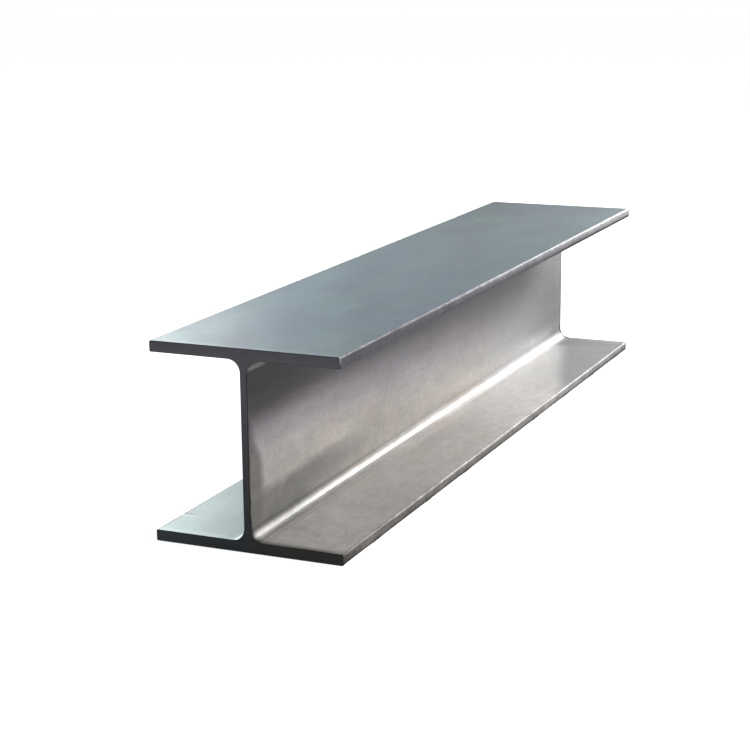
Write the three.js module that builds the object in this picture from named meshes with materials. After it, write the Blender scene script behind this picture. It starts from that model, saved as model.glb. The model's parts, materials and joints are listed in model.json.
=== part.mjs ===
// Wide-flange steel I-beam: one sawn length of hot-rolled section. Millimetres, +Z up.
// The beam lies along X on its lower flange, with its web upright.
// The origin is the middle of the underside.
import * as THREE from "three";

// Rolled section
const DEPTH = 250; // over both flanges
const FLANGE_WIDTH = 250;
const FLANGE_THICKNESS = 14;
const WEB_THICKNESS = 9;
const ROOT_RADIUS = 16; // fillet where the web runs into a flange
const TOE_RADIUS = 1.5; // long corners of a flange toe
const TOE_CROWN_RADIUS = 120; // the edging rolls leave the toe face slightly round

// Sawn length
const LENGTH = 1200;
const ARRIS = 1; // edge ground off all round a sawn face

// Facets
const ARC_DIVISIONS = 5; // each arc has twice as many facets
const ARRIS_STEPS = 2;

const QUARTER_TURN = Math.PI / 2;
const HALF_TURN = Math.PI;

// Centres and angles of the arcs round one toe, measured from the middle of its flange's edge.
function toeArcs() {
  const corner = Math.min(TOE_RADIUS, FLANGE_THICKNESS / 2);
  const crown = Math.max(TOE_CROWN_RADIUS, FLANGE_THICKNESS);
  const cornerHeight = FLANGE_THICKNESS / 2 - corner;
  const spread = Math.asin(cornerHeight / (crown - corner));
  return {
    corner,
    crown,
    cornerHeight,
    spread, // half of the angle that the crown takes
    cornerDepth: crown - (crown - corner) * Math.cos(spread),
  };
}

// The section's outline in the YZ plane, anticlockwise, centred on the middle of the web.
// Its left half is its right half turned half round, so both come from one run of arcs.
function sectionOutline() {
  const outline = new THREE.Shape();
  const toe = toeArcs();
  const clear = DEPTH / 2 - FLANGE_THICKNESS; // from mid-depth to a flange's inner face
  const root = Math.min(ROOT_RADIUS, clear, (FLANGE_WIDTH - WEB_THICKNESS) / 2 - toe.cornerDepth);
  const rootCentre = WEB_THICKNESS / 2 + root;
  const flangeMiddle = DEPTH / 2 - FLANGE_THICKNESS / 2;
  const cornerCentre = FLANGE_WIDTH / 2 - toe.cornerDepth;
  const crownCentre = FLANGE_WIDTH / 2 - toe.crown;

  for (const [side, turn] of [[1, 0], [-1, HALF_TURN]]) {
    const arc = (y, z, radius, from, to) =>
      outline.absarc(side * y, side * z, radius, from + turn, to + turn, to < from);
    const addToe = (middle) => {
      arc(cornerCentre, middle - toe.cornerHeight, toe.corner, -QUARTER_TURN, -toe.spread);
      arc(crownCentre, middle, toe.crown, -toe.spread, toe.spread);
      arc(cornerCentre, middle + toe.cornerHeight, toe.corner, toe.spread, QUARTER_TURN);
    };
    addToe(-flangeMiddle);
    arc(rootCentre, root - clear, root, -QUARTER_TURN, -HALF_TURN);
    arc(rootCentre, clear - root, root, HALF_TURN, QUARTER_TURN);
    addToe(flangeMiddle);
  }
  return outline;
}

// The section run out to length, with the arris taken off both sawn faces.
function rolledBeam() {
  const arris = Math.min(ARRIS, WEB_THICKNESS / 3);
  const geometry = new THREE.ExtrudeGeometry(sectionOutline(), {
    depth: LENGTH - 2 * arris,
    curveSegments: ARC_DIVISIONS,
    bevelEnabled: true,
    bevelThickness: arris,
    bevelSize: arris,
    bevelOffset: -arris,
    bevelSegments: ARRIS_STEPS,
  });
  const steel = new THREE.MeshStandardMaterial({ color: 0x8d979b, roughness: 0.42, metalness: 0.85 });
  const beam = new THREE.Mesh(geometry, steel);
  beam.name = "i_beam";
  beam.rotation.set(QUARTER_TURN, 0, QUARTER_TURN, "ZYX"); // the run along +X, the web along Z
  beam.position.set(arris - LENGTH / 2, 0, DEPTH / 2);
  return beam;
}

const model = new THREE.Group();
model.add(rolledBeam());

export default model;
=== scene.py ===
import json
import math
import random
from functools import cached_property, reduce

import bmesh
import bpy
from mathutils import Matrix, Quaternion, Vector, noise


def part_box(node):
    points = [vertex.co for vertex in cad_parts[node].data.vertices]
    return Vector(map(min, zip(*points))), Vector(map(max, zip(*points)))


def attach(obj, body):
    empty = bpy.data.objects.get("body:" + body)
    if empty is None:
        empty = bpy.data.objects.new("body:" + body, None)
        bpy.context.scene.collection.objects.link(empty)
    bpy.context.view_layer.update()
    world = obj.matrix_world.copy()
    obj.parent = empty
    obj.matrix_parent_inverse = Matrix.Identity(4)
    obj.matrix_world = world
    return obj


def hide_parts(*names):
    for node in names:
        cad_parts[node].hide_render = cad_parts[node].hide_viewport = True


# One sawn length of hot-rolled wide-flange steel beam and its finishes, in metres.
# X runs along the beam and Z is up. The beam lies on its lower flange.
# The near end is the sawn one at -X, and the far end is the one at +X.
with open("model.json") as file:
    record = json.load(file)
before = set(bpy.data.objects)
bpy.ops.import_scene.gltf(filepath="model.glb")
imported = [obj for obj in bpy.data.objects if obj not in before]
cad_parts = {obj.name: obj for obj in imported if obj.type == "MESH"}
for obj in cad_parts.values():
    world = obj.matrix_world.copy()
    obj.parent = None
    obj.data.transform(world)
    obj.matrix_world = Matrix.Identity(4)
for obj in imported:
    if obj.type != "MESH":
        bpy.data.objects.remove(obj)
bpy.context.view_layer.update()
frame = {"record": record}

MM = 0.001

# Sizes that the frame gives
low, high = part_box("i_beam")
LENGTH, WIDTH, DEPTH = high - low
mounts = {mount["name"]: Vector(mount["pos_m"]) for mount in frame["record"]["mounts"]}
WEB = 2 * mounts["web_face_plus_y"].y
FLANGE = mounts["lower_flange_inner_face_plus_y"].z

# Rolled corners and sawn edges
ROOT_RADIUS = 16 * MM
TOE_RADIUS = 1.5 * MM
TOE_CROWN_RADIUS = 120 * MM
ARRIS = 1 * MM

# Steps of the steel's skin
FLAT_STEP = 14 * MM  # across a flat face
LONG_STEP = 8 * MM  # along the beam
GUARD = 0.8 * MM  # narrow strip beside each arc, which keeps the flat beside it flat
ROOT_STEPS = 14
TOE_STEPS = 5
CROWN_STEPS = 4
ARRIS_STEPS = 3
SHARP_ANGLE = math.radians(38)  # an edge that turns further than this isn't smoothed over
MAP_GAP = 10 * MM  # between the unrolled skin and the sawn ends on the UV map

# Unevenness that hot rolling and handling leave
WAVE_DEPTH = 0.35 * MM
WAVE_ALONG = 0.17  # length of a wave along the beam
WAVE_ACROSS = 0.06  # and over the section
WAVE_OCTAVES = 2
WAVE_EASE = 12 * MM  # the waves fade out over this length towards a sawn end or a toe
NICKS = 18
NICK_SEED = 11
NICK_SPREAD = 0.46  # nicks lie within this share of the length from the middle
NICK_DEPTH = (0.35 * MM, 0.9 * MM)
NICK_LENGTH = (4 * MM, 13 * MM)
NICK_STATIONS = 5  # rings of points along a nick
NICK_REACH = 5.5 * MM  # of a nick from the corner that it sits on
WORN_DEPTH = 0.45 * MM  # off the lower corner of one toe, between the spots that kept their metal
WORN_REACH = 5 * MM
KEPT_SPOTS = (-0.50, -0.33, -0.19, 0.10, 0.25, 0.39, 0.54)  # their middles along the beam
KEPT_HALF = 24 * MM  # half of a spot's length

# Colours as a screen shows them, 0 to 255
OUTER_GREEN, OUTER_BLUE = (104, 121, 125), (102, 113, 123)
WEB_LOW, WEB_HIGH, WEB_FAR = (159, 155, 151), (158, 154, 158), (157, 157, 159)
# The last flange colour is painted shade beside the far end
FLANGE_NEAR, FLANGE_MIDDLE, FLANGE_SHADED = (182, 179, 176), (183, 182, 180), (174, 173, 175)
# Painted cool light on the +Y side
COOL_LIT_SIDE = (163, 175, 178)
# The last toe colour is painted light and highlight
UPPER_TOE, LOWER_TOE, LIT_STEEL = (74, 73, 75), (97, 93, 90), (184, 184, 184)
# The second colour here is painted shade under the toes, and the colour of the dark spots on one toe
STAIN, TOE_DARK = (107, 102, 98), (34, 32, 31)
SAWN_LOW, SAWN_COOL, SAWN_HIGH, SAWN_EDGE = (38, 38, 37), (36, 40, 42), (71, 70, 75), (22, 22, 23)

# Tints, as shares of red, green and blue
WARMER, COLDER = (1.03, 1.0, 0.975), (0.975, 1.0, 1.01)
# Tints of the painted shadow of the top flange, and of the painted shade low on the web
SHADOW_TINT, LOW_WEB_SHADE_TINT = (0.99, 0.965, 1.02), (0.965, 1.0, 1.03)
OUTER_NEAR, OUTER_FAR, OUTER_END = (0.985, 1.0, 1.02), (1.01, 1.0, 0.98), (1.03, 1.0, 0.965)
COLD_TOE, WARM_TOE = (0.98, 0.98, 1.035), (1.02, 0.995, 0.965)

# How far each mark of the finish, and each painted light and shade, darkens the steel, and then how far
# each one lightens it
FLANGE_SHADOW, LOW_WEB_SHADE, EDGE_STAIN, CUT_STAIN = 0.90, 0.42, 0.62, 0.88
ROOT_SHADE, FAR_SHADE, FAR_CUT, PITS = 0.36, 0.33, 0.97, 0.5
FOOT_SHEEN, NEAR_GLINT, TOP_SHEEN = 0.15, 0.12, 0.19

# Where the marks lie: the pairs are where one starts to show and where it is whole
OUTER_EDGE = (2.0 * MM, 0.6 * MM)  # under the top face, or over the underside
TOE_EDGE = (3.2 * MM, 1.6 * MM)  # in from a toe
CUT_STAIN_REACH = (17 * MM, -2 * MM)  # from the near end
GLINT_REACH = (18 * MM, 6 * MM)  # from the near end
FAR_CUT_REACH = (11 * MM, 3 * MM)  # from the far end
RIM_REACH = (8 * MM, 4 * MM)  # in from the top face's +Y edge
FAR_SLANT, TOP_SLANT, SWEEP_SLOPE = 3.4, 0.43, 0.15  # how steeply these marks cross the beam
PIT_CELLS = 70.0  # places for a pit to the metre
PIT_PICK = (0.90, 0.94)  # only the places above these shares have one
PIT_SIZE = (0.10, 0.05)  # as shares of such a place

# Gloss
METALLIC, ROUGH, SPECULAR = 0.55, 0.34, 0.05
SPECULAR_TINT = (0.5, 0.5, 0.5, 1.0)
SAWN_METALLIC, SAWN_ROUGH, SAWN_SPECULAR = 0.7, 0.5, 0.1
BLADE_TILT = math.radians(9)  # of the lines that the saw left
RELIEF = 1 * MM  # height of a bump of 1

OFF_GRID = (17.37, 5.41, 9.23)  # keeps the noise's own grid off the beam's middle planes


# ---------------------------------------------------------------- section and skin

def arc(centre, radius, start, stop, steps, hollow=False):
    """Points round an arc in the YZ plane, each with the steel's outward normal."""
    facing = -1 if hollow else 1
    made = []
    for step in range(steps + 1):
        angle = start + (stop - start) * step / steps
        way = Vector((math.cos(angle), math.sin(angle)))
        made.append((centre + radius * way, facing * way))
    return made


def flat(start, stop, normal):
    """Points across a flat face between two arcs, without its ends."""
    run = stop - start
    steps = max(1, round((run.length - 2 * GUARD) / FLAT_STEP))
    strip = GUARD / run.length
    shares = [strip + (1 - 2 * strip) * step / steps for step in range(steps + 1)]
    return [(start + share * run, Vector(normal)) for share in shares]


def quarter_section():
    """The section from the middle of its underside to the middle of its web, on the +Y side."""
    quarter = math.pi / 2
    corner_height = FLANGE / 2 - TOE_RADIUS
    spread = math.asin(corner_height / (TOE_CROWN_RADIUS - TOE_RADIUS))
    crown_centre = WIDTH / 2 - TOE_CROWN_RADIUS
    toe_centre = crown_centre + (TOE_CROWN_RADIUS - TOE_RADIUS) * math.cos(spread)
    root_centre = WEB / 2 + ROOT_RADIUS

    lower_toe = arc(Vector((toe_centre, TOE_RADIUS)), TOE_RADIUS, -quarter, -spread, TOE_STEPS)
    crown = arc(Vector((crown_centre, FLANGE / 2)), TOE_CROWN_RADIUS, -spread, spread, CROWN_STEPS)
    upper_toe = arc(Vector((toe_centre, FLANGE - TOE_RADIUS)), TOE_RADIUS, spread, quarter, TOE_STEPS)
    root = arc(Vector((root_centre, FLANGE + ROOT_RADIUS)), ROOT_RADIUS, -quarter, -2 * quarter,
               ROOT_STEPS, hollow=True)

    middle = (Vector((0, 0)), Vector((0, -1)))
    web_middle = (Vector((WEB / 2, DEPTH / 2)), Vector((1, 0)))
    return ([middle] + flat(middle[0], lower_toe[0][0], (0, -1))
            + lower_toe + crown[1:-1] + upper_toe
            + flat(upper_toe[-1][0], root[0][0], (0, 1))
            + root + flat(root[-1][0], web_middle[0], (1, 0))[:-1] + [web_middle])


def whole_section():
    """The closed outline, as the quarter mirrored up and then across."""
    quarter = quarter_section()
    half = quarter + [(Vector((p.x, DEPTH - p.y)), Vector((n.x, -n.y))) for p, n in quarter[-2::-1]]
    return half + [(Vector((-p.x, p.y)), Vector((-n.x, n.y))) for p, n in half[-2:0:-1]]


def nicks():
    """Small dents along the flange toes: middle, half length, depth, and the corner they sit on."""
    draw = random.Random(NICK_SEED)
    corners = [(side, level) for side in (-1, 1) for level in (0, FLANGE, DEPTH - FLANGE, DEPTH)]
    made = []
    for _ in range(NICKS):
        side, level = draw.choice(corners)
        place = draw.uniform(-NICK_SPREAD, NICK_SPREAD) * LENGTH
        made.append((place, draw.uniform(*NICK_LENGTH) / 2, draw.uniform(*NICK_DEPTH),
                     Vector((side * WIDTH / 2, level))))
    return made


def stations(dents):
    """Places along the beam where the skin has a ring of points, each with the ring's inset."""
    reach = LENGTH / 2 - ARRIS
    steps = round((2 * reach - 2 * GUARD) / LONG_STEP)
    places = {-reach, reach}
    places.update(GUARD - reach + 2 * (reach - GUARD) * step / steps for step in range(steps + 1))
    for middle, half, _, _ in dents:
        places.update(middle + half * (2 * k / (NICK_STATIONS - 1) - 1) for k in range(NICK_STATIONS))
    rings = [(x, 0.0) for x in sorted(places)]
    for step in range(1, ARRIS_STEPS + 1):
        turn = math.pi / 2 * step / ARRIS_STEPS
        x, inset = reach + ARRIS * math.sin(turn), ARRIS * (1 - math.cos(turn))
        rings = [(-x, inset)] + rings + [(x, inset)]
    return rings


def rolling_wave(x, point):
    """How far the rolled face lies under its nominal place."""
    place = Vector((x / WAVE_ALONG, point.x / WAVE_ACROSS, point.y / WAVE_ACROSS))
    return WAVE_DEPTH * (0.5 + 0.5 * noise.fractal(place, 1.0, 2.0, WAVE_OCTAVES))


def dent_depth(x, point, dents):
    """How deep the nicks reach at a point of the section."""
    depth = 0.0
    for middle, half, deep, corner in dents:
        along = abs(x - middle) / half
        away = (point - corner).length / NICK_REACH
        if along < 1 and away < 1:
            depth = max(depth, deep * (1 - along * along) * (1 - away * away))
    return depth


def worn_depth(x, point):
    """How much is worn off the lower corner of the lower flange's toe on the -Y side."""
    away = (point - Vector((-WIDTH / 2, 0))).length / WORN_REACH
    if away >= 1:
        return 0.0
    kept = max(0.0, max(1 - ((x - spot) / KEPT_HALF) ** 2 for spot in KEPT_SPOTS))
    return WORN_DEPTH * (1 - kept) * (1 - away * away)


def skin_point(x, inset, point, normal, dents):
    """A point of the skin with its unevenness. The underside has no waves, so the beam lies flat."""
    ends = min(1.0, (LENGTH / 2 - abs(x)) / WAVE_EASE)
    toes = min(1.0, (WIDTH / 2 - abs(point.x)) / WAVE_EASE) if point.y > TOE_RADIUS / 2 else 0.0
    uneven = ends * (toes * rolling_wave(x, point) + worn_depth(x, point))
    place = point - (inset + uneven + dent_depth(x, point, dents)) * normal
    return Vector((x, place.x, place.y))


def rolled_skin():
    """The beam's surface in one closed mesh, unrolled on its UV map."""
    section, dents = whole_section(), nicks()
    rings = stations(dents)
    mesh = bmesh.new()
    layer = mesh.loops.layers.uv.new("OFBake")

    grid = [[mesh.verts.new(skin_point(x, inset, p, n, dents)) for p, n in section] for x, inset in rings]
    around = len(section)
    girth = [0.0]
    for k in range(around):
        girth.append(girth[-1] + (section[(k + 1) % around][0] - section[k][0]).length)
    side = max(girth[-1], LENGTH + MAP_GAP + WIDTH)
    sheet = [(x + LENGTH / 2) / side for x, _ in rings]

    for i in range(len(rings) - 1):
        for k in range(around):
            after = (k + 1) % around
            face = mesh.faces.new((grid[i][k], grid[i + 1][k], grid[i + 1][after], grid[i][after]))
            dressed = rings[i][1] + rings[i + 1][1] > 0
            face.smooth = not dressed
            face.material_index = int(dressed)
            spots = ((i, k), (i + 1, k), (i + 1, k + 1), (i, k + 1))
            for corner, (ring, step) in zip(face.loops, spots):
                corner[layer].uv = (sheet[ring], girth[step] / side)

    for ring, row in ((grid[0], 0), (grid[-1], 1)):
        end = mesh.faces.new(ring if row == 0 else ring[::-1])
        end.material_index = 1
        for corner in end.loops:
            spot = corner.vert.co
            corner[layer].uv = ((LENGTH + MAP_GAP + spot.y + WIDTH / 2) / side,
                                (row * (DEPTH + MAP_GAP) + spot.z) / side)
    bmesh.ops.recalc_face_normals(mesh, faces=mesh.faces)
    bmesh.ops.triangulate(mesh, faces=[f for f in mesh.faces if len(f.verts) > 4])

    data = bpy.data.meshes.new("rolled_beam")
    mesh.to_mesh(data)
    mesh.free()
    data.set_sharp_from_angle(angle=SHARP_ANGLE)
    return data


# ---------------------------------------------------------------- shader maths

class Field:
    """A value that a shader socket gives, so that sums and products of it are Math nodes."""

    def __init__(self, tree, socket):
        self.tree, self.socket = tree, socket

    def math(self, operation, *values):
        """A Math node in this value's tree."""
        return self.tree.node("Math", {"operation": operation}, *values)

    def __add__(self, other):
        return self.math("ADD", self, other)

    def __sub__(self, other):
        return self.math("SUBTRACT", self, other)

    def __rsub__(self, other):
        return self.math("SUBTRACT", other, self)

    def __mul__(self, other):
        return self.math("MULTIPLY", self, other)

    def __truediv__(self, other):
        return self.math("DIVIDE", self, other)

    def __abs__(self):
        return self.math("ABSOLUTE", self)

    __radd__ = __add__
    __rmul__ = __mul__

    def most(self, other):
        """The larger of this value and another."""
        return self.math("MAXIMUM", self, other)

    def ramp(self, start, stop, low=0.0, high=1.0):
        """Eases from low to high while the value goes from start to stop."""
        return self.tree.node("MapRange", {"interpolation_type": "SMOOTHSTEP"},
                              self, start, stop, low, high)

    def between(self, start, full, fade, stop):
        """Eases from 0 to 1 from start to full, and back to 0 from fade to stop."""
        return self.ramp(start, full) * self.ramp(stop, fade)


class Tree:
    """A node tree that is built by calls."""

    def __init__(self, owner):
        owner.use_nodes = True
        self.nodes, self.links = owner.node_tree.nodes, owner.node_tree.links
        self.nodes.clear()

    def node(self, kind, settings=None, *values, output=None, **named):
        """Adds a node, applies its settings, then fills its open sockets in order or by name."""
        made = self.nodes.new("ShaderNode" + kind)
        for name, value in (settings or {}).items():
            setattr(made, name, value)
        sockets = [s for s in made.inputs if s.enabled]
        wanted = list(zip(sockets, values))
        wanted += [(next(s for s in sockets if s.name == name.replace("_", " ")), value)
                   for name, value in named.items()]
        for socket, value in wanted:
            if isinstance(value, Field):
                self.links.new(value.socket, socket)
            else:
                socket.default_value = value
        outputs = {s.name: s for s in made.outputs if s.enabled}
        if not outputs:
            return None
        return Field(self, outputs[output] if output else next(iter(outputs.values())))

    def place(self):
        """The shaded point, in the beam's own metres."""
        return self.node("TexCoord", output="Object")

    def cloud(self, place, x, y, z, detail=2.0, rough=0.5):
        """Even noise about 0, with x, y and z patches to the metre."""
        spread = self.node("VectorMath", {"operation": "MULTIPLY_ADD"}, place, (x, y, z), OFF_GRID)
        return self.node("TexNoise", Vector=spread, Scale=1.0, Detail=detail, Roughness=rough) - 0.5

    def tint(self, factor, first, second):
        """Mixes two colours."""
        return self.node("Mix", {"data_type": "RGBA"}, factor, first, second)

    def shade(self, colour, value):
        """A colour made lighter or darker by a value."""
        return self.node("VectorMath", {"operation": "SCALE"}, colour, Scale=value)

    def filtered(self, colour, share):
        """A colour with each channel taken times a share."""
        return self.node("VectorMath", {"operation": "MULTIPLY"}, colour, share)

    def washed(self, factor, colour, share):
        """A colour that is filtered as far as the factor says."""
        return self.tint(factor, colour, self.filtered(colour, share))


def colour(red, green, blue):
    """A colour as a screen shows it, 0 to 255, as the shader wants it."""
    def linear(level):
        share = level / 255
        return share / 12.92 if share <= 0.04045 else ((share + 0.055) / 1.055) ** 2.4
    return (linear(red), linear(green), linear(blue), 1.0)


# ---------------------------------------------------------------- finishes

class Skin:
    """Where a point lies on the rolled skin, with the noise, the marks of its finish, and painted light and
    shade.

    Places along the beam are in metres from its middle.
    """

    def __init__(self, steel):
        place = steel.place()
        self.x, self.y, self.z = (steel.node("SeparateXYZ", None, place, output=axis) for axis in "XYZ")
        self.from_near, self.from_far = self.x + LENGTH / 2, LENGTH / 2 - self.x
        self.off_web = abs(self.y)
        self.from_edge = WIDTH / 2 - self.off_web
        self.from_face = DEPTH / 2 - abs(self.z - DEPTH / 2)  # the top face or the underside
        self.mark_faces()
        self.mark_toe_corners()
        self.add_noise(steel, place)

    def mark_faces(self):
        """Which part of the section a point is on, as shares from 0 to 1."""
        self.upper = self.z.ramp(DEPTH / 2 - MM, DEPTH / 2 + MM)
        self.lower = 1 - self.upper
        self.cool = self.y.ramp(-2 * MM, 2 * MM)  # the +Y side, which is plainer, and cooler in painted light
        self.warm = 1 - self.cool
        self.outer = self.from_face.ramp(*OUTER_EDGE)
        self.inner = 1 - self.outer
        self.toe = self.from_edge.ramp(*TOE_EDGE)
        self.flange = self.from_face.ramp(FLANGE + ROOT_RADIUS, FLANGE)
        self.web = self.inner * (1 - self.toe) * (1 - self.flange)
        self.lower_flange = self.flange * self.lower * self.inner * (1 - self.toe)
        self.height = (self.z - (DEPTH - FLANGE) * self.upper) / FLANGE  # within the flange's thickness

    def mark_toe_corners(self):
        """Painted shade on the lower corner of each toe, and a painted highlight on its upper corner."""
        top = 0.37 - 0.05 * self.upper
        under = self.height.ramp(top, top - 0.16) * self.toe * (0.5 + 0.5 * self.upper)
        self.under = under * (1 - 0.95 * self.upper * self.x.ramp(0.3, 0.1))
        foot = 0.80 - 0.05 * self.x.between(-0.46, -0.40, -0.05, 0.05)
        inward = 3 * MM + 1.2 * MM * self.upper * self.x.ramp(0.1, 0.35)
        self.brow = self.height.ramp(foot, foot + 0.1) * self.from_edge.ramp(inward, inward - MM)

    def add_noise(self, steel, place):
        """Unevenness of the finish, from broad patches down to the grain."""
        self.broad = steel.cloud(place, 4, 13, 13, 3.0)
        self.patch = steel.cloud(place, 9, 16, 16, 2.0)
        self.mottle = steel.cloud(place, 28, 46, 46, 4.0, 0.6)
        self.hue = steel.cloud(place, 16, 34, 34, 3.0, 0.6)
        self.blotch = steel.cloud(place, 75, 115, 115, 3.0, 0.6)
        self.speck = steel.cloud(place, 260, 320, 320, 3.0, 0.6)
        self.grain = steel.cloud(place, 700, 700, 700, 2.0)
        self.streak = steel.cloud(place, 2.2, 240, 240, 2.0)
        self.brushed = steel.cloud(place, 420, 420, 30, 2.0)
        sloping = steel.node("CombineXYZ", None, self.x, self.y, self.z + SWEEP_SLOPE * self.x)
        self.sweep = steel.cloud(sloping, 3, 13, 38, 2.0)

        cells = {"Vector": place, "Scale": PIT_CELLS}
        lot = steel.node("TexVoronoi", output="Color", **cells)
        picked = steel.node("SeparateColor", None, lot, output="Red").ramp(*PIT_PICK)
        self.pit = steel.node("TexVoronoi", output="Distance", **cells).ramp(*PIT_SIZE) * picked

    @cached_property
    def flange_shadow(self):
        """Painted shadow of the top flange high on the web, deepest towards the near end, and painted shade
        in the upper fillet.
        """
        level = self.z + 9 * MM * self.patch + 8 * MM * self.mottle + 14 * MM * self.sweep
        near = 0.70 * level.ramp(136 * MM, 178 * MM) + 0.06 * level.ramp(170 * MM, 200 * MM)
        near = near + 0.24 * level.ramp(108 * MM, 134 * MM)
        away = self.x.ramp(-0.54, 0.30)
        flange_shadow = near * (1 - away) + 0.89 * level.ramp(38 * MM, 184 * MM) * away
        far = self.x.ramp(0.36, 0.552)
        hollow = self.z.ramp(224 * MM, 227.5 * MM) * self.off_web.ramp(24 * MM, 18 * MM) * self.inner
        hollow = hollow * (0.83 + 0.07 * self.z.ramp(228 * MM, 231 * MM))
        thin = self.z.between(220.5 * MM, 223 * MM, 225.5 * MM, 228 * MM)
        thin = thin * self.x.between(-0.597, -0.588, -0.55, -0.50)
        return ((flange_shadow * (1 - far) + 0.5 * far) * self.web * (1 - 0.19 * thin)).most(hollow)

    @cached_property
    def low_web_shade(self):
        """Painted shade low on the web beside the near end, thinning into a streak."""
        level = self.z + 9 * MM * self.patch + 5 * MM * self.mottle
        top = 64 * MM + 12 * MM * self.broad - 10 * MM * self.x.ramp(-0.408, -0.168)
        top = top + 5 * MM * self.x.ramp(-0.52, -0.44) + 6 * MM * self.x.ramp(-0.53, -0.57)
        thinned = self.x.ramp(-0.50, -0.38)
        wide, thin = level.ramp(14 * MM, 26 * MM), level.ramp(28 * MM, 52 * MM, 0.25, 1.0)
        low_web_shade = level.ramp(top + 9 * MM, top - 10 * MM) * (wide * (1 - thinned) + thin * thinned)
        return low_web_shade * self.x.ramp(-0.168, -0.48)

    def web_patch(self, x, z, half_length, half_height):
        """Soft-edged patch of the web's -Y face round a point."""
        along = abs(self.x - x).ramp(half_length, 0.4 * half_length)
        up = abs(self.z - z + 5 * MM * self.mottle).ramp(half_height, 0.4 * half_height)
        return along * up * self.warm * self.web

    @cached_property
    def web_patches(self):
        """A painted glint where the painted shade low on the web ends, a lighter patch high on mid-web, and
        a darker patch between the two.
        """
        lifted = 0.18 * self.web_patch(-0.355, 84 * MM, 0.095, 14 * MM)
        lifted = lifted + 0.08 * self.web_patch(0.11, 145 * MM, 0.13, 34 * MM)
        return lifted - 0.11 * self.web_patch(-0.165, 102 * MM, 0.075, 28 * MM)

    @cached_property
    def foot_sheen(self):
        """Painted sheen along the foot of the web."""
        foot = self.z.between(24 * MM, 34 * MM, 38 * MM, 62 * MM)
        along = self.x.ramp(-0.46, -0.30) * self.x.ramp(0.38, 0.48, 1.0, 2.1)
        return foot * along * (1 - 0.5 * abs(self.x).ramp(0.11, 0.04))

    # The lower fillet runs from 14 to 30 mm up, and from 4.5 to 20.5 mm off the middle of the web.

    @cached_property
    def root_shade(self):
        """Painted shade along both edges of the lower fillet, which narrows its highlight, strongest at the
        near end.
        """
        near = self.x.ramp(-0.34, -0.54)
        foot = self.off_web.between(8.5 * MM, 10 * MM, 11 * MM, 14.5 * MM)
        foot = foot * (0.95 + 0.45 * self.x.ramp(0.02, 0.12))
        skirt = self.off_web.between(10.5 * MM, 12.5 * MM, 13.5 * MM, 20 * MM)
        skirt = skirt * (0.8 * self.x.ramp(-0.18, -0.30) + 0.45 * near + 0.4 * self.x.ramp(0.15, 0.32))
        beyond = 0.45 * near * self.off_web.between(13.5 * MM, 16 * MM, 20 * MM, 27 * MM)
        head = self.z.between(22 * MM, 26 * MM, 27 * MM, 31.5 * MM) * self.x.ramp(0.0, -0.4)
        low_down = self.z.ramp(22 * MM, 17 * MM) * foot.most(skirt).most(beyond)
        return (low_down + 1.25 * head) * self.warm * self.inner

    @cached_property
    def root_highlight(self):
        """Painted highlight in the hollow of the lower fillet, and beside it."""
        hollow = self.z.between(19 * MM, 22 * MM, 26.5 * MM, 28.5 * MM)
        hollow = hollow * (0.25 + 0.2 * self.x.ramp(-0.34, -0.56))
        above = self.z.between(20 * MM, 23 * MM, 34 * MM, 52 * MM) * self.x.ramp(0.36, 0.46)
        above = above * self.x.ramp(0.555, 0.53).most(self.z.ramp(30 * MM, 26 * MM))
        beside = self.off_web.between(14.5 * MM, 17 * MM, 24 * MM, 31 * MM)
        beside = beside * self.z.ramp(22 * MM, 17 * MM) * self.x.between(-0.30, -0.20, 0.0, 0.16)
        return (hollow + 0.3 * above + 0.15 * beside) * self.warm * self.inner

    @cached_property
    def edge_stain(self):
        """Brown stain on the web beside a sawn end, wider lower down, with a faint haze next to it."""
        inward = LENGTH / 2 - abs(self.x) + 9 * MM * self.mottle
        level = self.z + 9 * MM * self.patch + 9 * MM * self.mottle
        far = self.x.ramp(-0.1, 0.1)
        reach = level.ramp(102 * MM, 138 * MM, 47 * MM, 26 * MM)
        reach = reach - level.ramp(138 * MM, 162 * MM, 0.0, 8 * MM)
        depth = 0.35 * level.ramp(26 * MM, 50 * MM) + 0.65 * level.ramp(64 * MM, 82 * MM)
        wide = inward.ramp(reach, reach - 25 * MM) * depth * (0.73 + 0.7 * self.mottle)
        wide = wide * (1 - far) * (1 - 0.6 * self.cool)
        close = inward.ramp(far.ramp(0.0, 1.0, 7 * MM, 9 * MM), 1 * MM) * (1.15 - 0.7 * far)
        stain = wide.most(close) * level.ramp(172 * MM, 156 * MM)
        haze = self.z.between(74 * MM, 90 * MM, 102 * MM, 116 * MM) * self.x.ramp(-0.45, -0.50)
        return stain.most(0.12 * haze) * self.web

    @cached_property
    def cut_stain(self):
        """Burnt metal on the lower flange, and on its toe, beside the near end."""
        beside = (self.from_near + 4 * MM * self.mottle).ramp(*CUT_STAIN_REACH)
        beside = beside * self.lower * self.warm * self.z.ramp(34 * MM, 20 * MM)
        return beside * self.y.ramp(-WIDTH / 2, -0.35 * WIDTH, 0.6, 1.0)

    @cached_property
    def near_glint(self):
        """Painted glint beside the near end, on the outer faces and on the +Y side's flanges."""
        return self.from_near.ramp(*GLINT_REACH) * self.outer.most(self.cool * (1 - self.web))

    @cached_property
    def far_shade(self):
        """Painted shade on the lower flange beside the far end, lifting again at the very end."""
        slanted = (self.x - FAR_SLANT * self.y).ramp(0.60, 0.69)
        slanted = slanted * self.x.ramp(0.528, 0.576, 1.0, 1.3)
        close = self.x.ramp(0.50, 0.56) * self.off_web.between(13 * MM, 24 * MM, 46 * MM, 62 * MM)
        end_lift = self.x.ramp(0.575, 0.592) * self.off_web.ramp(42 * MM, 56 * MM)
        shade = slanted.most(1.4 * close) - 0.35 * end_lift
        return shade * self.z.ramp(40 * MM, 16 * MM) * self.warm * self.inner * (1 - self.toe)

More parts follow.
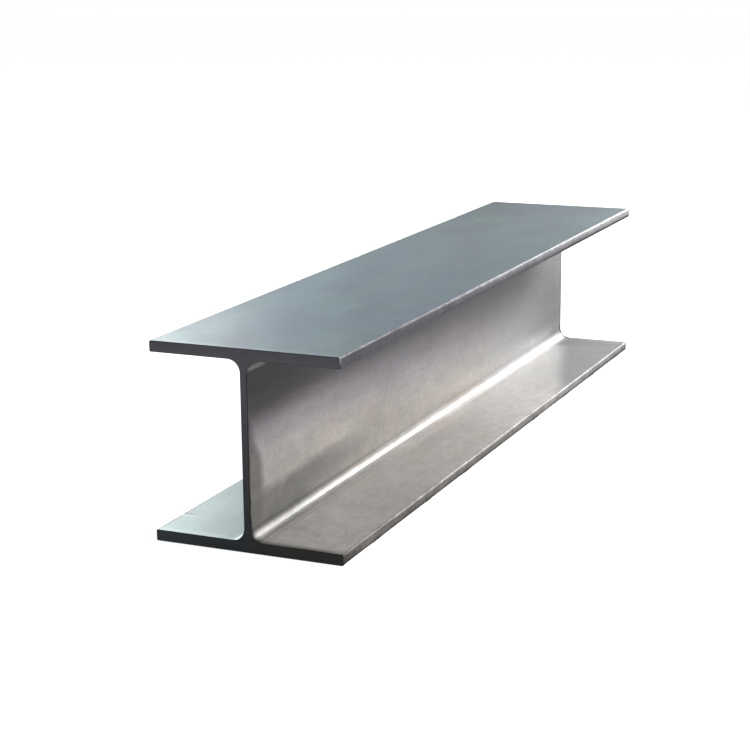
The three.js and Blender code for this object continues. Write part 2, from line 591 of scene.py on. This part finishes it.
    @cached_property
    def flange_sheen(self):
        """Painted sheen along the lower flange and towards its toe, with less of it in places."""
        along = self.x.ramp(-0.144, 0.24)
        outwards = (self.off_web - 68 * MM).most(-22 * MM) * self.x.between(-0.40, -0.05, 0.20, 0.34)
        less_sheen = self.x.between(0.22, 0.30, 0.34, 0.42) * self.off_web.ramp(60 * MM, 36 * MM)
        beside_root = self.off_web.between(26 * MM, 36 * MM, 54 * MM, 68 * MM)  # the painted sheen stops there
        less_sheen = less_sheen + 0.8 * beside_root * self.x.between(-0.40, -0.30, 0.04, 0.14)
        near = self.x.ramp(-0.48, -0.54)
        return (0.23 * along + 3.4 * outwards - 0.12 * less_sheen - 0.05 * near) * self.lower_flange

    @cached_property
    def top_sheen(self):
        """Painted sheen across the top face, slanting away from the near end."""
        slanted = (self.y - TOP_SLANT * self.x).between(0.095, 0.185, 0.23, 0.28)
        return slanted * self.x.ramp(-0.42, -0.54, 1.0, 1.4) * self.outer * self.upper

    @cached_property
    def far_cut(self):
        """Darker line round the lower fillet beside the far end."""
        beside = self.from_far.ramp(*FAR_CUT_REACH) * self.off_web.ramp(22 * MM, 19 * MM)
        return beside * self.z.ramp(46 * MM, 30 * MM) * self.warm

    @cached_property
    def toe_light(self):
        """How much painted light the toes get, from the near end to the far one."""
        dimmer_low = 0.22 * self.lower * self.x.ramp(0.12, 0.456)
        return self.x.ramp(-0.552, 0.60) * (1 - dimmer_low)

    @cached_property
    def brow_highlight(self):
        """How bright the painted highlight on the upper corner of each toe is."""
        near_end = 0.13 * self.upper * self.x.ramp(-0.44, -0.52)
        near_half = 0.2 * self.lower * self.x.between(-0.50, -0.42, -0.06, 0.06)
        return self.brow * (0.8 + 0.9 * self.mottle) * (0.25 + 0.75 * self.toe_light + near_end + near_half)

    @cached_property
    def dark_toe_spots(self):
        """Darker spots low on one toe, where its worn corner kept its metal."""
        spots = [abs(self.x - spot).ramp(KEPT_HALF, 0.3 * KEPT_HALF) for spot in KEPT_SPOTS]
        return reduce(Field.most, spots) * self.lower * self.warm * self.height.ramp(0.48, 0.20)

    def noise_tone(self):
        """Lighter and darker metal about 1, from the noise alone."""
        fine = 0.52 * self.speck + 0.35 * self.grain + 0.08 * self.brushed
        coarse = 0.55 * self.mottle + 0.26 * self.blotch + 0.12 * self.streak * self.inner
        strength = (1 - 0.25 * self.outer) * (1 - 0.4 * self.cool)
        strength = strength * self.x.ramp(0.0, 0.42, 1.0, 0.75)
        strength = strength * (1 + (1.7 - 0.8 * self.upper) * self.toe)
        return 1 + 0.28 * self.broad + 0.2 * self.sweep * self.web + strength * (fine + coarse)

    def toe_tone(self):
        """Darker stretches of the lower toes, and one lighter one beside the near end."""
        low_part = self.height.ramp(0.9, 0.5)
        far = 0.12 * self.x.ramp(0.25, 0.5) + 0.24 * self.height.ramp(0.75, 0.2) * self.x.ramp(0.30, 0.45)
        far = far + 0.18 * low_part * self.x.ramp(0.53, 0.6)
        near = 0.42 * self.warm * low_part * self.x.ramp(-0.54, -0.59)
        near = near - 0.14 * self.x.between(-0.56, -0.53, -0.49, -0.46)
        return 1 - self.toe * self.lower * (far + near)

    def long_tone(self):
        """Slow changes towards the far end, across the outer faces and up the web."""
        across = self.x.ramp(0.0, 0.42, 0.8, -1.0) - 1.1 * self.x.ramp(0.36, 0.52)
        up = self.x.ramp(0.36, 0.552) * self.z.ramp(85 * MM, 175 * MM, -0.07, 0.44)
        low_down = 0.17 * self.z.ramp(78 * MM, 58 * MM) * self.x.ramp(0.53, 0.57)
        return (1 + self.y * self.outer * across) * (1 + up * self.web) * (1 - low_down * self.web)

    def tone(self):
        """Lighter and darker metal, about 1, with the painted light and shade."""
        tone = self.noise_tone() * self.toe_tone() * self.long_tone()
        tone = tone * (1 - PITS * self.pit) * (1 - FLANGE_SHADOW * self.flange_shadow) * (1 - LOW_WEB_SHADE * self.low_web_shade)
        tone = tone * (1 - EDGE_STAIN * self.edge_stain) * (1 - CUT_STAIN * self.cut_stain)
        tone = tone * (1 - ROOT_SHADE * self.root_shade) * (1 + self.root_highlight) * (1 + self.flange_sheen)
        tone = tone * (1 - FAR_SHADE * self.far_shade) * (1 - FAR_CUT * self.far_cut)
        tone = tone * (1 + FOOT_SHEEN * self.foot_sheen) * (1 + self.web_patches)
        return tone * (1 + NEAR_GLINT * self.near_glint) * (1 + TOP_SHEEN * self.top_sheen)


def inner_colour(steel, skin):
    """Warm bright metal between the flanges, with a painted cool light on the +Y side."""
    high_up = (skin.z + 24 * MM * skin.x.ramp(-0.4, -0.1)).ramp(86 * MM, 148 * MM)
    web = steel.tint(high_up, colour(*WEB_LOW), colour(*WEB_HIGH))
    # Painted shadow of the top flange on the web, with its tint
    web = steel.washed(skin.flange_shadow, web, SHADOW_TINT)
    web = steel.tint(skin.x.ramp(0.12, 0.408), web, colour(*WEB_FAR))
    beyond = skin.x.ramp(0.12, 0.336)
    flange = steel.tint(beyond, colour(*FLANGE_NEAR), colour(*FLANGE_MIDDLE))
    # Painted shade on the lower flange beside the far end
    flange = steel.tint(skin.far_shade, flange, colour(*FLANGE_SHADED))
    ground = steel.tint(skin.flange, web, flange)
    # Painted cool light on the +Y side
    ground = steel.tint(skin.cool, ground, colour(*COOL_LIT_SIDE))
    warmer, colder = steel.filtered(ground, WARMER), steel.filtered(ground, COLDER)
    ground = steel.tint((0.5 + 2.0 * skin.hue).ramp(0, 1), warmer, colder)
    # Painted shade low on the web beside the near end, with its tint
    ground = steel.washed(skin.low_web_shade, ground, LOW_WEB_SHADE_TINT)
    return steel.tint(0.6 * skin.edge_stain, ground, colour(*STAIN))


def outer_colour(steel, skin):
    """Blue-grey metal of the top face and the underside."""
    ground = steel.tint((0.5 + 2.2 * skin.patch).ramp(0, 1), colour(*OUTER_GREEN), colour(*OUTER_BLUE))
    bluer, greyer = steel.filtered(ground, OUTER_NEAR), steel.filtered(ground, OUTER_FAR)
    ground = steel.tint((skin.x - 2.0 * skin.y.most(0.0)).ramp(-0.2, 0.15), bluer, greyer)
    ground = steel.washed(abs(skin.x).ramp(0.45, 0.57), ground, OUTER_END)
    rim = (WIDTH / 2 - skin.y).ramp(*RIM_REACH) * skin.x.ramp(-0.48, -0.30)
    return steel.tint(0.3 * rim, ground, colour(*STAIN))


def toe_colour(steel, skin):
    """Toes painted dark towards the near end and painted lighter towards the far one, as the light falls
    along them.
    """
    even = 0.6 * skin.lower  # the lower toes get the painted light more evenly over their height
    worn = skin.height * (1 - even) + 0.6 * even + 0.25 * skin.toe_light
    worn = worn.ramp(0.25, 1.15, 0.0, 0.69) * skin.toe_light
    ground = steel.tint(skin.upper, colour(*LOWER_TOE), colour(*UPPER_TOE))
    # Painted light on the toes, stronger towards the far end
    ground = steel.tint(worn, ground, colour(*LIT_STEEL))
    # Painted shade on the lower corner of each toe, and the dark spots low on one toe
    return steel.tint((0.95 * skin.under).most(0.7 * skin.dark_toe_spots), ground, colour(*TOE_DARK))


def mill_finish():
    """Satin rolled steel: blue-grey on the outer faces of the flanges, warmer and brighter between them,
    with painted light and shade.
    """
    material = bpy.data.materials.new("mill_finish")
    steel = Tree(material)
    skin = Skin(steel)

    ground = steel.tint(skin.outer, inner_colour(steel, skin), outer_colour(steel, skin))
    ground = steel.tint(skin.toe, ground, toe_colour(steel, skin))
    # Painted highlight on the upper corner of each toe
    ground = steel.tint(skin.brow_highlight, ground, colour(*LIT_STEEL))
    whole_toe = skin.toe.most(skin.brow)
    cold = whole_toe * skin.upper * skin.x.ramp(0.32, 0.5, 1.0, 0.5)
    warm = whole_toe * skin.lower * skin.x.ramp(0.32, 0.22) * skin.height.ramp(0.5, 0.8)
    ground = steel.washed(cold, ground, COLD_TOE)
    ground = steel.washed(warm, ground, WARM_TOE)

    streak = skin.streak * (1 - 0.75 * skin.outer)
    relief = 0.05 * skin.speck + 0.05 * streak + 0.12 * skin.mottle - 0.25 * skin.pit
    relief = relief * (1 - 0.35 * skin.outer.most(skin.cool))
    bump = steel.node("Bump", Strength=1.0, Distance=RELIEF, Height=relief)
    rough = ROUGH + 0.15 * skin.pit + 0.16 * whole_toe + 0.3 * skin.under
    rough = rough + 0.16 * skin.mottle + 0.10 * streak + 0.10 * skin.speck
    # The painted shadow of the top flange lowers the gloss, and the painted shade under each toe takes it
    # away
    shader = steel.node("BsdfPrincipled", Base_Color=steel.shade(ground, skin.tone()),
                        Metallic=(METALLIC - 0.5 * skin.flange_shadow) * (1 - skin.under), Roughness=rough,
                        Normal=bump, Specular_IOR_Level=SPECULAR, Specular_Tint=SPECULAR_TINT)
    steel.node("OutputMaterial", Surface=shader)
    return material


def sawn_finish():
    """Saw-cut steel, painted dark for the shade on the ends and darker towards the bottom, with the blade's
    fine lines, and its dressed edge.
    """
    material = bpy.data.materials.new("sawn_finish")
    steel = Tree(material)
    place = steel.place()
    x, y, z = (steel.node("SeparateXYZ", None, place, output=axis) for axis in "XYZ")
    turned = steel.node("VectorRotate", {"rotation_type": "X_AXIS"}, place, Angle=BLADE_TILT)
    lines = steel.cloud(turned, 1, 9, 900, 2.0)
    mottle = steel.cloud(place, 40, 40, 40, 4.0, 0.6)
    lighter = 5.0 * y.most(0.0) * z.ramp(0.3 * DEPTH, 0.0)  # low down on the +Y side
    tone = (1 + 0.5 * lines + 0.5 * mottle) * (1 + lighter)

    # Painted shade: the sawn face darkens towards the bottom
    low_down = steel.tint(y.ramp(-0.02, 0.01), colour(*SAWN_LOW), colour(*SAWN_COOL))
    ground = steel.tint(z.ramp(0.0, DEPTH), low_down, colour(*SAWN_HIGH))
    edge = (LENGTH / 2 - abs(x)).ramp(0.05 * MM, 0.35 * MM)
    # The dressed edge has a painted glint round the top corner on the -Y side, and a little at the far end.
    corner = (y + WIDTH / 2).ramp(3.0 * MM, 1.5 * MM) * (DEPTH - z).ramp(10 * MM, 5 * MM)
    worn = (0.7 * corner).most(0.12 * x.ramp(0.0, 0.1))
    ground = steel.tint(edge, ground, steel.tint(worn, colour(*SAWN_EDGE), colour(*LIT_STEEL)))

    bump = steel.node("Bump", Strength=1.0, Distance=RELIEF, Height=0.06 * lines + 0.05 * mottle)
    shader = steel.node("BsdfPrincipled", Base_Color=steel.shade(ground, tone),
                        Metallic=SAWN_METALLIC * (1 - edge), Normal=bump,
                        Roughness=SAWN_ROUGH + 0.2 * mottle + 0.15 * lines + 0.3 * edge,
                        Specular_IOR_Level=SAWN_SPECULAR)
    steel.node("OutputMaterial", Surface=shader)
    return material


# ---------------------------------------------------------------- studio

CAMERA_PLACE = Vector((-2.3928, -0.9526, 0.7162))
CAMERA_AIM = Vector((0.0, 0.0949, 0.0723))
CAMERA_ROLL = math.radians(0.576)
SENSOR_MM = 36
LENS_MM = 86.053

WHITE = (1.0, 1.0, 1.0)
COOL_LIGHT = (0.955, 1.0, 0.97)
SKY = 0.4  # strength of the light from all round
FLOOR_REACH = 12.0
FLOOR_GAP = 0.3 * MM  # keeps the floor clear of the beam's underside
FLOOR_MATT = (0.8, 0.8, 0.8, 1.0)  # the floor as other things are lit by it
FLOOR_THIN, FLOOR_GLOW = (0.5, 0.5, 0.5, 1.0), 0.79  # the floor as the camera sees it

# Name, place, width, height, power, tint and turn of each light. All of them face the beam.
SOFT_BOXES = (
    ("far_right_box", (4.0, -0.75, 1.1), 1.4, 0.9, 110, WHITE, 0.0),
    ("right_box", (0.3, -1.9, 2.2), 2.2, 1.1, 95, WHITE, 0.0),
    ("back_left_box", (2.2, 2.55, 0.95), 2.0, 1.0, 67, COOL_LIGHT, math.radians(32)),
    ("top_box", (0.2, 0.8, 3.2), 2.0, 2.0, 30, WHITE, 0.0),
)


def aimed(place, aim):
    """The turn that faces a camera or a light from one place towards another."""
    return (Vector(aim) - Vector(place)).to_track_quat("-Z", "Y")


def camera():
    """The camera, as the scene's own."""
    data = bpy.data.cameras.new("camera")
    data.sensor_width = SENSOR_MM
    data.lens = LENS_MM
    made = bpy.data.objects.new("camera", data)
    made.rotation_mode = "QUATERNION"
    made.location = CAMERA_PLACE
    made.rotation_quaternion = aimed(CAMERA_PLACE, CAMERA_AIM) @ Quaternion((0, 0, -1), CAMERA_ROLL)
    bpy.context.scene.collection.objects.link(made)
    bpy.context.scene.camera = made


def soft_box(name, place, width, height, power, tint, turn):
    """A rectangular light that faces the middle of the beam."""
    data = bpy.data.lights.new(name, "AREA")
    data.shape = "RECTANGLE"
    data.size, data.size_y = width, height
    data.energy = power
    data.color = tint
    made = bpy.data.objects.new(name, data)
    made.location = place
    made.rotation_mode = "QUATERNION"
    made.rotation_quaternion = aimed(place, (0, 0, DEPTH / 2)) @ Quaternion((0, 0, 1), turn)
    bpy.context.scene.collection.objects.link(made)


def seen_directly(tree):
    """1 for what the camera, gloss or glass sees, 0 for the light that lands on things."""
    camera, glossy, through = (tree.node("LightPath", output=ray) for ray in
                               ("Is Camera Ray", "Is Glossy Ray", "Is Transmission Ray"))
    return camera.most(glossy).most(through)


def pale_floor():
    """A white floor that keeps the beam's shadow."""
    material = bpy.data.materials.new("pale_floor")
    paint = Tree(material)
    matt = paint.node("BsdfDiffuse", Color=FLOOR_MATT)
    thin = paint.node("BsdfDiffuse", Color=FLOOR_THIN)
    glow = paint.node("Emission", Color=(*WHITE, 1.0), Strength=FLOOR_GLOW)
    white = paint.node("AddShader", None, thin, glow)
    seen = seen_directly(paint)
    paint.node("OutputMaterial", Surface=paint.node("MixShader", None, seen, matt, white))
    return material


def studio():
    """White all round, the floor, and the lights."""
    world = bpy.data.worlds.new("studio")
    bpy.context.scene.world = world
    air = Tree(world)
    white = air.node("Background", Color=(*WHITE, 1.0), Strength=1.0)
    light = air.node("Background", Color=(*WHITE, 1.0), Strength=SKY)
    air.node("OutputWorld", Surface=air.node("MixShader", None, seen_directly(air), light, white))

    data = bpy.data.meshes.new("floor")
    reach, level = FLOOR_REACH, low.z - FLOOR_GAP
    data.from_pydata([(-reach, -reach, level), (reach, -reach, level), (reach, reach, level),
                      (-reach, reach, level)], [], [(0, 1, 2, 3)])
    floor = bpy.data.objects.new("floor", data)
    floor.data.materials.append(pale_floor())
    bpy.context.scene.collection.objects.link(floor)

    for box in SOFT_BOXES:
        soft_box(*box)


def beam():
    """The beam itself, in place of its plain solid."""
    piece = bpy.data.objects.new("rolled_beam", rolled_skin())
    piece.data.materials.append(mill_finish())
    piece.data.materials.append(sawn_finish())
    bpy.context.scene.collection.objects.link(piece)
    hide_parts("i_beam")
    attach(piece, "root")


camera()
studio()
beam()
bpy.context.scene.view_settings.view_transform = "Standard"
